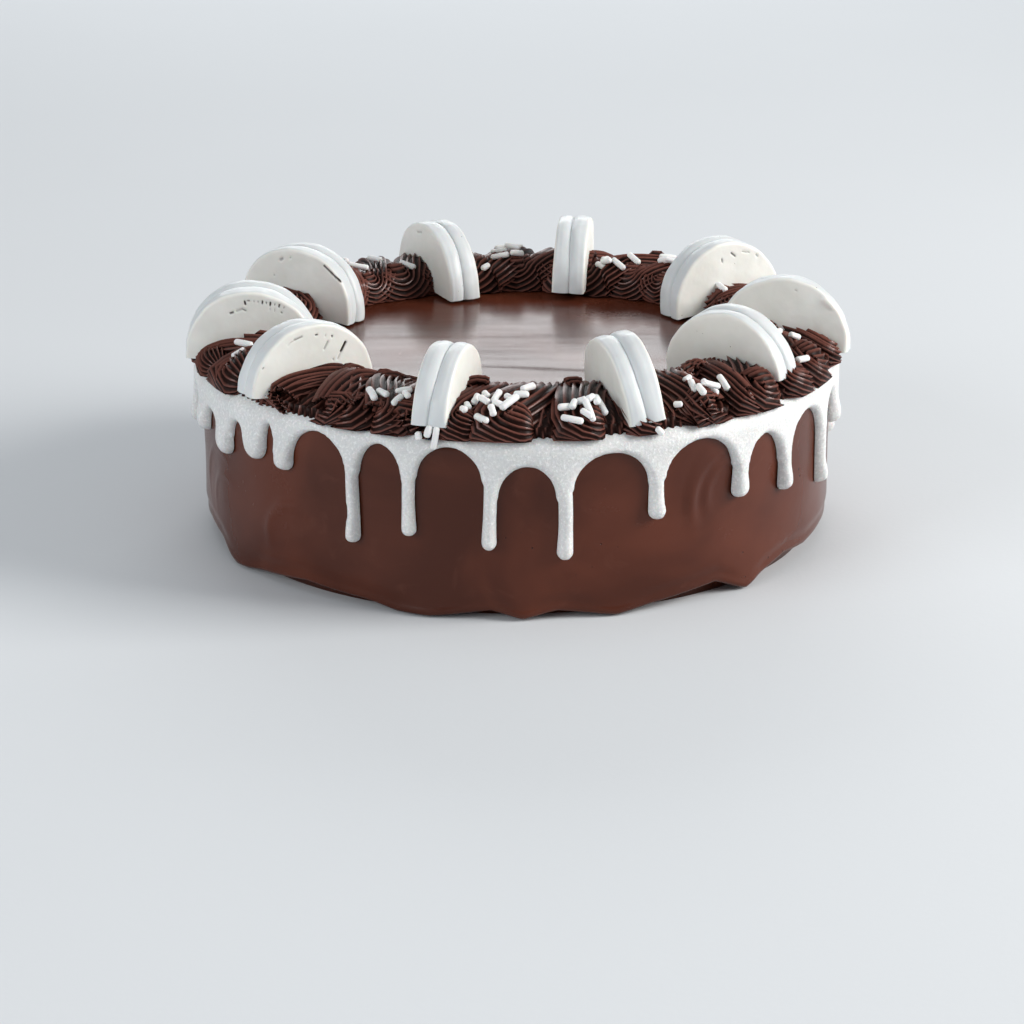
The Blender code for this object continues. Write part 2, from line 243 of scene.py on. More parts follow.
# The glazed body.
glazeSettings = {
    "radius": 126.3 * mm,
    "height": 70 * mm,
    "rounding": 5 * mm,
    "core": 118 * mm,
    "lipRadius": 125.2 * mm,
    "footSpread": 1.7 * mm,
    "columns": 600,
    "sideRows": 56,
    "rimRows": 8,
    "shoulderRows": 9,
    "topRows": 56,
    # the bare middle of the top, inside the piping, has even rows
    "topMiddle": 92,
    "dark": shade(0.061, 0.0143, 0.0066),
    "light": shade(0.100, 0.0252, 0.0124),
    # painted sheen: a lighter, less saturated colour for streaks that stand in for the glaze's specular
    # streaks
    "sheenStreak": shade(0.135, 0.044, 0.028),
    # painted shade for the insides of the pinholes
    "pinholeShade": shade(0.016, 0.006, 0.004),
    # angle and half width in degrees of each place where the glaze ran down
    "feet": (
        (24, 4), (58, 6), (97, 3), (128, 5), (163, 4), (211, 6), (255, 7), (271, 3.4), (287, 4.5),
        (313.6, 3.6),
    ),
    # height of the lip above the underside by angle, as the front shows it
    "lip": (
        (150, 4.6), (175, 6.5), (194, 9.0), (205, 4.1), (211, 0.7), (221, 2.5), (230, 5), (243, 3.2),
        (249, 0.7), (255, 0.4), (265.5, 3.5), (271, 0.6), (277, 3.3), (287, 0.5), (297, 3.3), (307, 6.2),
        (313.6, 0.4), (322, 5.9), (326, 7.9), (334, 5.8), (345, 7.3), (375, 4.4),
    ),
    # soft swellings and hollows on the side: angle, height, half width and half height in mm, depth in mm
    "swellings": (
        (205, 34, 9, 22, 0.5), (214, 26, 12, 14, -0.4), (222, 22, 10, 8, 0.45), (236, 40, 18, 12, -0.3),
        (262, 18, 22, 9, 0.35), (285, 30, 20, 12, -0.3), (300, 22, 16, 8, 0.4), (330, 24, 14, 10, 0.45),
        (20, 30, 20, 14, 0.4), (60, 24, 24, 10, -0.4), (95, 34, 18, 16, 0.35), (140, 26, 22, 10, 0.4),
        (165, 40, 12, 18, -0.35),
    ),
    # arcs left where the glaze ran over itself: angle, height, radius, width and depth in mm
    "folds": (
        (310, 40, 19.5, 1.8, 1.25), (310, 41, 13, 1.8, 0.8), (312, 40, 26, 1.7, 0.7), (228, 20, 14, 2.4, 0.6),
        (45, 38, 14, 2.2, 0.7), (120, 36, 16, 2.2, 0.7), (203, 26, 17, 1.5, 0.4), (206, 22, 12, 1.4, 0.3),
    ),
}


def lipHeight(angle, settings):
    degrees = np.degrees(angle)
    waves = 4.2 + 1.3 * np.sin(2 * angle + 0.9) + 0.9 * np.sin(5 * angle + 2.1)
    waves += 0.7 * np.sin(11 * angle + 0.4)
    foot = np.minimum(1, 1.35 * footAt(angle, settings))
    plain = waves * (1 - foot) + 0.4 * foot
    seen = np.where(degrees < 100, degrees + 360, degrees)
    knots = np.array(settings["lip"])
    measured = np.interp(seen, knots[:, 0], knots[:, 1])
    share = bulge((seen - 270) / 100) ** 0.25 * (np.abs(seen - 270) < 100)
    return (plain + (measured - plain) * share) * mm


def footAt(angle, settings):
    degrees = np.degrees(angle)
    feet = [bulge(turnBetween(degrees, centre) / (1.6 * half)) for centre, half in settings["feet"]]
    return np.max(feet, axis=0)


def sideRelief(angle, height, settings):
    # how far the side stands proud, in metres: slow waves, swellings and folds
    degrees = np.degrees(angle)
    mmPerDegree = 2.2
    up = height / mm
    relief = 0.10 * np.sin(3 * angle + 1.7 + 0.05 * up) + 0.08 * np.sin(7 * angle + 0.3 - 0.04 * up)
    relief += 0.06 * np.sin(13 * angle + 4.0 + 0.11 * up) + 0.04 * np.sin(23 * angle + 0.17 * up)
    for centre, middle, wide, tall, deep in settings["swellings"]:
        across = turnBetween(degrees, centre) * mmPerDegree / wide
        relief += deep * np.exp(-(across**2) - ((up - middle) / tall) ** 2)
    for centre, middle, size, wide, deep in settings["folds"]:
        across = turnBetween(degrees, centre) * mmPerDegree
        reach = np.hypot(across, up - middle)
        turn = np.arctan2(up - middle, across)
        shown = np.clip(1.5 * np.sin(turn - 0.7) - 0.1, 0, 1)
        relief += deep * np.exp(-(((reach - size) / wide) ** 2)) * shown
    return (relief - 0.55) * mm


def glazedBody():
    s = glazeSettings
    shoulder = s["radius"] - s["rounding"]
    under = np.array([0, 40, 80, 108, 118]) * mm
    outer = np.linspace(shoulder / mm, s["topMiddle"], s["shoulderRows"] + 1)[1:]
    topRadii = np.concatenate([outer, np.linspace(s["topMiddle"], 0, s["topRows"])[1:]]) * mm
    lipRows = 7
    rows = len(under) + lipRows + s["sideRows"] + s["rimRows"] + len(topRadii) - 1

    def place(angle, row):
        lip = lipHeight(angle, s)
        spread = s["footSpread"] * footAt(angle, s)
        toe = s["lipRadius"] + spread
        radius = np.zeros_like(angle)
        height = np.zeros_like(angle)
        first = row < len(under)
        radius[first] = under[row[first]]
        lipShape = (
            (np.full_like(toe, s["core"] + 0.4 * mm), lip),
            (toe - 2.6 * mm, lip),
            (toe - 1.0 * mm, lip + 0.1 * mm),
            (toe - 0.3 * mm, lip + 0.5 * mm),
            (toe, lip + 1.2 * mm),
            (toe + 0.1 * mm, lip + 2.0 * mm),
            (toe + 0.1 * mm - 0.25 * spread, lip + 2.9 * mm),
        )
        for number, (out, up) in enumerate(lipShape):
            here = row == len(under) + number
            radius[here] = out[here]
            height[here] = up[here]
        start = len(under) + lipRows
        share = (row - start + 1) / (s["sideRows"] + 1)
        side = (row >= start) & (share <= 1)
        low = lip + 2.9 * mm
        up = low + share * (s["height"] - s["rounding"] - low)
        above = (up - lip) / mm
        blend = np.clip((above - 2.9) / 5.5, 0, 1)
        blend = blend * blend * (3 - 2 * blend)
        out = (toe + 0.1 * mm - 0.25 * spread) * (1 - blend) + s["radius"] * blend
        out += sideRelief(angle, up, s) * bulge((up / mm - 33) / 32) ** 0.5
        radius[side] = out[side]
        height[side] = up[side]
        start += s["sideRows"]
        turn = (row - start) / s["rimRows"] * math.pi / 2
        rim = (row >= start) & (row < start + s["rimRows"])
        radius[rim] = (shoulder + s["rounding"] * np.cos(turn))[rim]
        height[rim] = (s["height"] - s["rounding"] + s["rounding"] * np.sin(turn))[rim]
        start += s["rimRows"]
        top = row >= start
        radius[top] = topRadii[np.minimum(row[top] - start, len(topRadii) - 1)]
        height[top] = s["height"]
        placed = aroundCake(angle, radius, height)
        placed[top, 2] -= topRelief(placed[top, 0] / mm, placed[top, 1] / mm) * mm
        return (placed,)

    shape = wrappedGrid(s["columns"], rows, place)
    madePiece("glazedBody", shape, glazeFinish(), ["glazed_cake"])


def topRelief(across, deep):
    # how far the top lies below its highest level, in mm: slow waves and a long spatula ridge
    relief = 0.16 + 0.07 * np.sin(0.07 * across + 0.045 * deep + 1.0)
    relief += 0.06 * np.sin(0.11 * deep - 0.05 * across)
    ridge = deep - (-30 - 0.10 * across - 0.0022 * (across - 8) ** 2)
    relief += 0.16 * np.tanh(ridge / 2.2) * np.exp(-(((across - 8) / 42) ** 4))
    ridge = deep - (18 + 0.06 * across)
    relief += 0.07 * np.tanh(ridge / 3.0) * np.exp(-(((across + 10) / 55) ** 4))
    edge = np.clip((93 - np.hypot(across, deep)) / 12, 0, 1)
    return np.clip(relief, 0.0, 0.6) * edge


def glazeFinish():
    s = glazeSettings
    f = Finish("chocolateGlaze", {"IOR": 1.46, "Specular IOR Level": 0.28})
    broad = f.noise(17, 3, 0.55, 0.6)
    sheenStreaks = f.noise(60, 4, 0.6, 1.2)
    fine = f.noise(420, 3, 0.6)
    colour = f.mix(f.step(broad, 0.35, 0.68), s["dark"], s["light"])
    # painted sheen: lighter streaks mixed in to stand in for specular streaks on the glaze
    colour = f.mix(f.step(sheenStreaks, 0.55, 0.8) * 0.35, colour, s["sheenStreak"])
    # pinholes: small dents in the bump, darkened inside with painted shade
    holes = f.step(f.cells(210), 0.10, 0.045) * f.step(f.noise(26), 0.56, 0.62)
    colour = f.mix(holes * 0.8, colour, s["pinholeShade"])
    # fine level strokes left by the spatula
    level = f.node("Mapping", {}, {"Vector": f.place(), "Scale": (9.0, 95.0, 95.0)})
    strokes = f.node("TexNoise", {}, {"Vector": level, "Scale": 1.0, "Detail": 4.0, "Roughness": 0.6})
    ripples = f.noise(55, 1, 0.5, 1.2)
    height = ripples * 0.18 - holes * 1.0 + fine * 0.006 + strokes * 0.35
    roughness = 0.13 + broad * 0.10 + fine * 0.03 + strokes * 0.10
    return f.done(colour, roughness, f.bump(height, 0.0003))


# The white icing collar.
collarSettings = {
    # in mm: how thick it is, and on the drips; how much more near their tips; and how wide its round edge is
    "thickness": 2.4,
    "stem": 3.0,
    "bulb": 1.1,
    "edge": 2.3,
    "edgeTurn": 1.1,
    # its inner side: the wall's radius, then the turn over the cake's upper edge
    "inner": 126.95,
    "shoulder": 121.3,
    "turnHeight": 65,
    "turnRadius": 5.65,
    "highest": 72.4,
    "lowest": 22,
    "archFall": 13,
    "columns": 760,
    "rows": 52,
    "colour": shade(0.70, 0.705, 0.695),
    "second": shade(0.64, 0.645, 0.64),
    "glint": shade(0.95, 0.95, 0.94),
    "shadow": shade(0.52, 0.53, 0.53),
    # angle, height of the tip and width in mm of each drip, then the top of the arch that follows it
    "front": (
        (186, 43, 8, 62), (197, 47, 9, 58.6), (208.7, 44.5, 11, 60.3), (219, 48.5, 12, 64.7),
        (226.6, 48, 9, 66.3), (241.4, 26, 6, 65.7), (251.8, 31.5, 6, 66.7), (265.5, 28, 6, 60.2),
        (278, 24, 6.5, 64), (294, 36.5, 7, 64.8), (311, 38.5, 7.5, 60.6), (323, 35, 7, 62.9),
        (338, 28.5, 6.5, 63), (349, 46, 8, 61),
    ),
    "backDrips": 10,
    "backTips": (27, 49),
    "backArches": (66, 60, 64.5, 61),
}


def allDrips(settings):
    # every drip as angle, tip, width and the arch after it, in order round the cake
    draw = random.Random(7)
    drips = list(settings["front"])
    first = drips[-1][0] - 360
    step = (drips[0][0] - first) / (settings["backDrips"] + 1)
    for number in range(1, settings["backDrips"] + 1):
        angle = first + step * (number + draw.uniform(-0.18, 0.18))
        tip = draw.uniform(*settings["backTips"])
        width = draw.uniform(6, 9)
        drips.append((angle % 360, tip, width, settings["backArches"][number % 4]))
    return sorted(drips)


def icingDepth(degrees, height, drips, settings):
    # how far inside the icing's lower edge each place is, in mm; below 0 it is bare glaze
    reach = settings["inner"]
    best = np.full(len(degrees), -99.0)
    arches = np.full(len(degrees), 99.0)
    nearest = np.full(len(degrees), 99.0)
    band = np.zeros(len(degrees))
    for number, (angle, tip, width, top) in enumerate(drips):
        following, nextTip, nextWidth, _ = drips[(number + 1) % len(drips)]
        # the drip itself: a rod with a round end that swells a little
        sway = 0.3 * np.sin(0.13 * height + 1.9 * number)
        across = np.radians(turnBetween(degrees, angle)) * reach - sway
        bulb = 0.465 * width
        radius = bulb * (1 - 0.13 * np.clip((height - tip - bulb) / 9, 0, 1))
        ends = np.minimum(height - tip - bulb, 0)
        best = np.maximum(best, radius - np.hypot(across, ends))
        # the opening between this drip and the next
        gapStart = angle + math.degrees(0.5 * width / reach)
        gap = turnBetween(following, angle) - math.degrees(0.5 * (width + nextWidth) / reach)
        half = 0.5 * math.radians(gap) * reach
        middle = gapStart + 0.5 * gap
        away = np.radians(turnBetween(degrees, middle)) * reach
        fall = min(settings["archFall"], top - max(tip + 0.5 * width, nextTip + 0.5 * nextWidth) + 1)
        fall = max(fall, 4.0)
        level = top - fall
        rise = (height - level) / fall
        across = away / half
        inside = across**2 + np.maximum(rise, 0) ** 2
        slope = 2 * np.hypot(across / half, np.maximum(rise, 0) / fall) + 1e-6
        arches = np.minimum(arches, (inside - 1) / slope)
        closer = np.abs(away) - half < nearest
        nearest = np.where(closer, np.abs(away) - half, nearest)
        band = np.where(closer, level, band)
    return np.maximum(best, np.minimum(arches, height - band))


def icingCollar():
    s = collarSettings
    drips = allDrips(s)
    rows = s["rows"]
    down = np.linspace(s["highest"], s["lowest"], rows + 1)
    grid = fullTurn * s["inner"] / s["columns"]

    shape = bmesh.new()
    degreeLayer = shape.verts.layers.float.new("degrees")
    heightLayer = shape.verts.layers.float.new("heights")
    points, column, row = flatGrid(shape, s["columns"], rows)
    degrees = column * 360 / s["columns"]
    heights = down[row]
    depth = icingDepth(degrees, heights, drips, s)

    def ontoEdge(degrees, heights, depth):
        # moves places along the slope of the depth until they are on the icing's edge
        for _ in range(3):
            nudge = 0.05
            turned = math.degrees(nudge / s["inner"])
            slopeAcross = (icingDepth(degrees + turned, heights, drips, s) - depth) / nudge
            slopeUp = (icingDepth(degrees, heights + nudge, drips, s) - depth) / nudge
            size = np.maximum(slopeAcross**2 + slopeUp**2, 0.25)
            degrees = degrees - np.degrees(np.clip(depth * slopeAcross / size, -1, 1) / s["inner"])
            heights = heights - np.clip(depth * slopeUp / size, -1, 1)
            depth = icingDepth(degrees, heights, drips, s)
        return degrees, heights

    # places near the edge move onto it, and what lies beyond goes
    near = (np.abs(depth) < 0.5 * grid) & (row > 2)
    degrees[near], heights[near] = ontoEdge(degrees[near], heights[near], depth[near])
    depth[near] = 0
    outside = depth < 0
    for number, point in enumerate(points):
        point[degreeLayer] = degrees[number]
        point[heightLayer] = heights[number]
        point.tag = bool(outside[number])
    for face in list(shape.faces):
        beyond = [point for point in face.verts if point.tag]
        if len(beyond) == 1:
            turn = list(face.verts).index(beyond[0])
            bmesh.utils.face_split(face, face.verts[turn - 1], face.verts[(turn + 1) % 4])
    bmesh.ops.delete(shape, geom=[point for point in shape.verts if point.tag], context="VERTS")
    # its edge, without the grid's own two ends and its upper side
    inside = 0.4999
    rim = [point for point in shape.verts if point.is_boundary and abs(point.co.x) < inside]
    rim = [point for point in rim if point.co.y > -inside + 2 / rows]
    degrees = np.array([point[degreeLayer] for point in rim])
    heights = np.array([point[heightLayer] for point in rim])
    moved = ontoEdge(degrees, heights, icingDepth(degrees, heights, drips, s))
    for point, angle, height in zip(rim, *moved):
        point[degreeLayer] = angle
        point[heightLayer] = height
    degrees = np.array([point[degreeLayer] for point in shape.verts])
    heights = np.array([point[heightLayer] for point in shape.verts])
    depth = np.maximum(icingDepth(degrees, heights, drips, s), 0)
    for point in rim:
        point.tag = True
    onRim = np.array([point.tag for point in shape.verts])
    depth[onRim] = 0
    # thickness: a round edge, thicker on the drips and thickest near their tips
    low = np.zeros(len(depth))
    bulb = np.zeros(len(depth))
    for angle, tip, width, _ in drips:
        near = bulge(turnBetween(degrees, angle) / math.degrees(1.1 * width / s["inner"]))
        low = np.maximum(low, near * np.clip((62 - heights) / 12, 0, 1))
        bulb = np.maximum(bulb, near * bulge((heights - tip - 0.6 * width) / 7))
    full = s["thickness"] + low * (s["stem"] - s["thickness"]) + bulb * s["bulb"]
    rounded = np.sqrt(1 - (1 - np.minimum(depth / s["edge"], 1)) ** 2)
    thick = full * (0.16 + 0.84 * rounded)
    # above the wall it turns over the cake's edge, and thins towards the piping
    over = heights > s["turnHeight"]
    turn = np.maximum(heights - s["turnHeight"], 0) / s["turnRadius"]
    thick = thick * (1 - 0.25 * turn)
    radius = np.where(over, s["shoulder"] + (s["turnRadius"] + thick) * np.cos(turn), s["inner"] + thick)
    lifted = np.where(over, s["turnHeight"] + (s["turnRadius"] + thick) * np.sin(turn), heights)
    placed = aroundCake(np.radians(degrees), radius * mm, lifted * mm)
    for point, spot in zip(shape.verts, placed):
        point.co = spot
    bmesh.ops.remove_doubles(shape, verts=shape.verts, dist=2e-5)
    # the edge turns in to meet the glaze
    for point in bmesh.ops.extrude_edge_only(shape, edges=rimOf(shape))["geom"]:
        if isinstance(point, bmesh.types.BMVert):
            inward = Vector((point.co.x, point.co.y, 0)).normalized()
            point.co -= inward * s["edgeTurn"] * mm if point.co.z < 68 * mm else Vector((0, 0, 1.2 * mm))
    madePiece("icingCollar", shape, icingFinish(), ["drip_icing"], levels=1)


def icingFinish():
    s = collarSettings
    f = Finish("whiteIcing", {"IOR": 1.45, "Subsurface Weight": 0.12, "Subsurface Scale": 0.004})
    grain = f.noise(950, 3, 0.7)
    broad = f.noise(45, 3)
    sparkle = f.step(f.cells(1500), 0.35, 0.12)
    colour = f.mix(f.step(broad, 0.3, 0.7), s["colour"], s["second"])
    colour = f.mix(f.step(grain, 0.5, 0.68) * 0.6, colour, s["glint"])
    colour = f.mix(f.step(grain, 0.46, 0.30) * 0.5, colour, s["shadow"])
    height = grain * 1.1 + f.noise(260, 2) * 0.9
    roughness = 0.42 - sparkle * 0.16 + broad * 0.08
    return f.done(colour, roughness, f.bump(height, 0.00022))


# The piped border: one ridged strand for each loop, laid over a plain ring.
borderSettings = {
    "loops": 36,
    "uneven": 0.16,
    # lower strands that fill where the others part
    "extra": (226, 237, 247, 304),
    "extraLift": -2.0,
    "ridges": 14,
    "under": 3,
    "steps": 44,
    "height": 8.2,
    "groove": 1.9,
    "ringRidges": 250,
    "ringRows": 16,
    # middle of the section, and the furthest out and lowest that a strand may go, in mm
    "middle": (108.7, 76),
    "outermost": 130.3,
    "lowest": 70.38,
    # how far each strand leans on the one before it, in radians
    "shingle": 0.30,
    # section at the strands' crests: radius and height in mm
    "section": (
        (91.0, 70.35), (88.8, 75.5), (93.0, 81.8), (101.5, 84.6), (112.0, 84.4), (122.5, 81.6), (129.8, 76.8),
        (130.2, 70.9),
    ),
    # a strand's path: mm along the section from its inner foot, and how far round the cake in loops
    "path": (
        (19.0, 1.12), (13.5, 1.08), (9.0, 0.91), (6.8, 0.63), (8.8, 0.36), (15.5, 0.16),
        (25, -0.06), (35, -0.26), (43, -0.39), (49.5, -0.42), (53.0, -0.30), (53.6, -0.08),
    ),
    # strands that the front shows as different: angle, width, slant and bend against the usual
    "sweeps": (
        (185, 1.05, 1.9, 0.05), (195, 1.05, 2.1, 0.05), (205, 1.05, 2.2, 0.1), (214, 1.1, 1.6, -0.1),
        (222, 1.2, 0.7, 0.0), (229, 1.35, -0.3, 0.10), (241, 1.35, -1.1, -0.1), (250, 1.2, -0.4, 0.1),
        (262, 1.15, 1.4, 0.1), (273, 1.2, 1.8, 0.1), (284, 1.2, 1.4, -0.1), (293, 1.2, 1.1, 0.0),
        (302, 1.25, 0.6, -0.1), (312, 1.2, 0.8, -0.15), (322, 1.15, 1.0, 0.2), (332, 1.15, 2.0, 0.15),
        (342, 1.15, 1.7, 0.15), (352, 1.15, 1.6, 0.1),
    ),
    # dark is painted shade for the valleys between the ridges, crest a painted highlight for the ridge
    # crests; dull is a random darker tone
    "dark": shade(0.012, 0.0035, 0.0022),
    "crest": shade(0.175, 0.062, 0.046),
    "dull": shade(0.030, 0.010, 0.007),
}


def sectionCurve(points):
    # the border's section as reach, radius, height and outward normal
    curve, normals, length = smoothCurve(points, 160)
    outward = np.sum(normals * (curve - borderSettings["middle"]), axis=1, keepdims=True)
    normals = np.where(outward < 0, -normals, normals)
    return np.linspace(0, length, len(curve)), curve, normals


def strandPlaces(columns, rows, path, section, width, height, wave, middle, lift):
    # where the points of one strand go, and how near each is to a ridge's crest
    s = borderSettings
    along, curve, normals = section
    spine, _, _ = smoothCurve(path, s["steps"] + 1)
    reach = np.clip(spine[:, 0], 0.5, along[-1])
    radius = np.interp(reach, along, curve[:, 0])
    up = np.interp(reach, along, curve[:, 1])
    outward = np.interp(reach, along, normals[:, 0])
    upward = np.interp(reach, along, normals[:, 1])
    angle = middle + spine[:, 1] / s["middle"][0]
    out = np.stack([np.cos(angle), np.sin(angle), 0 * angle], axis=1)
    normal = out * outward[:, None]
    normal[:, 2] = upward
    normal /= np.linalg.norm(normal, axis=1, keepdims=True)
    spots = out * radius[:, None]
    spots[:, 2] = up
    whole = np.linspace(0, 1, s["steps"] + 1)
    slim = 1 - 0.24 * (1 - whole) ** 3 - 0.10 * whole**4
    spots -= normal * (height * slim - lift)[:, None]
    heading = np.gradient(spots, axis=0)
    heading /= np.linalg.norm(heading, axis=1, keepdims=True)
    across = np.cross(heading, normal)
    across /= np.linalg.norm(across, axis=1, keepdims=True)
    normal = np.cross(across, heading)
    share = rows / s["steps"]
    end = np.minimum(share / 0.11, (1 - share) / 0.10)
    size = np.sqrt(1 - (1 - np.clip(end, 0, 1)) ** 2) * slim[rows]
    top = 3 * s["ridges"]
    fan = np.where(columns <= top, -108 + 216 * columns / top, 108 + 144 * (columns - top) / (s["under"] + 1))
    fan = np.radians(fan) + 0.10 * np.sin(7 * share + wave) + 0.35 * (share - 0.5) * np.sin(wave)
    onCrest = columns % 3 == 0
    ridge = np.floor((columns + 1.5) / 3)
    valley = np.where(columns <= top, np.where(onCrest, 0.0, 0.92), 0.5)
    # some ridges stand prouder than others, and change along the strand
    prouder = np.sin(2.9 * ridge + wave) * np.sin(4.5 * share + 1.3 * ridge + 2 * wave)
    valley += 0.30 * prouder * (columns <= top)
    sideways = width * np.sin(fan) * size
    rise = height * np.maximum(np.cos(fan), -0.35) * size
    length = np.hypot(sideways, rise) + 1e-6
    kept = 1 - s["groove"] * valley * size / np.maximum(length, 3.5)
    sideways, rise = sideways * kept, rise * kept
    lean = s["shingle"] * np.sin(np.pi * share)
    leaned = sideways * np.cos(lean) - rise * np.sin(lean)
    rise = rise * np.cos(lean) + sideways * np.sin(lean)
    places = spots[rows] + across[rows] * leaned[:, None] + normal[rows] * rise[:, None]
    return places, (onCrest & (columns <= top)) * np.clip(2 * size, 0, 1)


def pipedBorder():
    s = borderSettings
    draw = random.Random(3)
    step = fullTurn / s["loops"]
    starts = [step * (loop + draw.uniform(-s["uneven"], s["uneven"])) for loop in range(s["loops"])]
    starts.append(starts[0] + fullTurn)
    lifts = [draw.uniform(-1.3, 0.5) for _ in range(s["loops"])]
    section = sectionCurve(s["section"])
    loose = random.Random(11)
    sweeps = np.array(s["sweeps"])
    shape = bmesh.new()
    crestLayer = shape.verts.layers.float.new("crest")
    columnCount = 3 * s["ridges"] + s["under"] + 1
    strands = [(0.5 * (first + last), last - first) for first, last in zip(starts, starts[1:])]
    strands += [(math.radians(angle), step) for angle in s["extra"]]
    lifts += [s["extraLift"]] * len(s["extra"])
    for (middle, pitch), lift in zip(strands, lifts):
        pitch *= s["middle"][0]
        degrees = math.degrees(middle) % 360
        wide, slant, bend = loose.uniform(0.98, 1.12), loose.uniform(0.8, 1.2), loose.uniform(-0.12, 0.12)
        hook, foot, wave = loose.uniform(0.9, 1.1), loose.uniform(0, 2.5), loose.uniform(0, fullTurn)
        if sweeps[0][0] - 5 < degrees < sweeps[-1][0] + 5:
            wide, slant, bend = (np.interp(degrees, sweeps[:, 0], sweeps[:, n]) for n in (1, 2, 3))
        path = []
        for reach, side in s["path"]:
            side *= slant if side < 0.1 else hook
            side += bend * math.sin(math.pi * (reach - 12) / 24) * (reach > 12)
            # a strand that runs nearly straight out has a straighter end
            if reach > 50:
                reach += (1 - min(1, abs(slant) / 1.3)) * (reach - 51) * 1.3
            path.append((reach - foot * (reach > 45), side * pitch))
        made, columns, rows = flatGrid(shape, columnCount, s["steps"])
        width = 0.55 * pitch * wide
        lift = min(lift, 0.0) * 0.8
        placed, crest = strandPlaces(columns, rows, path, section, width, s["height"], wave, middle, lift)
        reachOut = np.hypot(*placed.T[:2])
        placed[:, :2] *= np.minimum(1, s["outermost"] / reachOut)[:, None]
        placed[:, 2] = np.maximum(placed[:, 2], s["lowest"])
        for point, place, value in zip(made, placed, crest):
            point.co = place * mm
            point[crestLayer] = value
    bmesh.ops.remove_doubles(shape, verts=shape.verts, dist=1e-6)
    addRing(shape, section)
    return madePiece("pipedBorder", shape, creamFinish(), ["piped_border"])


def addRing(shape, section):
    # the ring under the strands, ridged where it shows between them
    s = borderSettings
    along, curve, normals = section
    rows = s["ringRows"]
    picked = np.linspace(0, len(curve) - 1, rows).astype(int)
    deep = np.interp(np.arange(rows), [0, 2, rows - 3, rows - 1], [2.5, 4.0, 4.0, 3.0])
    reach = along[picked]

    def place(angle, row):
        shown = picked[np.minimum(row, rows - 1)]
        turn = angle / fullTurn * s["ringRidges"] + (20 - reach[np.minimum(row, rows - 1)]) * 0.20
        turn += 0.5 * np.sin(9 * angle + 0.1 * row)
        depth = deep[np.minimum(row, rows - 1)] + s["groove"] * 0.8 * np.abs(np.sin(np.pi * turn)) ** 0.7
        out = curve[shown, 0] - normals[shown, 0] * depth
        up = np.maximum(curve[shown, 1] - normals[shown, 1] * depth, 70.5)
        under = row >= rows
        out = np.where(row == rows, 118.0, np.where(row == rows + 1, 100.0, out))
        # crest: nearness to a ridge crest, which sets the cream's painted highlight and painted shade as well
        # as its gloss
        crest = (1 - np.abs(np.sin(np.pi * turn))) ** 2 * ~under
        return aroundCake(angle, out * mm, np.where(under, 70.4, up) * mm), crest

    ring = wrappedGrid(4 * s["ringRidges"], rows + 1, place, ["crest"])
    bmesh.ops.bridge_loops(ring, edges=rimOf(ring))
    addShape(shape, ring)


def creamFinish():
    s = borderSettings
    f = Finish("chocolateCream", {"IOR": 1.46, "Specular IOR Level": 0.1, "Coat Roughness": 0.2})
    crest = f.attribute("crest")
    grain = f.noise(900, 3, 0.6)
    broad = f.noise(60, 2)
    # painted light: the ridge crests get a lighter painted highlight and the valleys a near-black painted
    # shade
    colour = f.mix(f.step(crest + grain * 0.3 - 0.15, 0.15, 1.0), s["dark"], s["crest"])
    colour = f.mix(f.step(broad, 0.45, 0.75) * 0.3, colour, s["dull"])
    roughness = 0.36 + grain * 0.14 - crest * 0.10
    # only the crests of the ridges shine
    gloss = f.step(crest, 0.45, 0.95) * 0.45
    return f.done(colour, roughness, f.bump(grain, 0.00012), gloss)


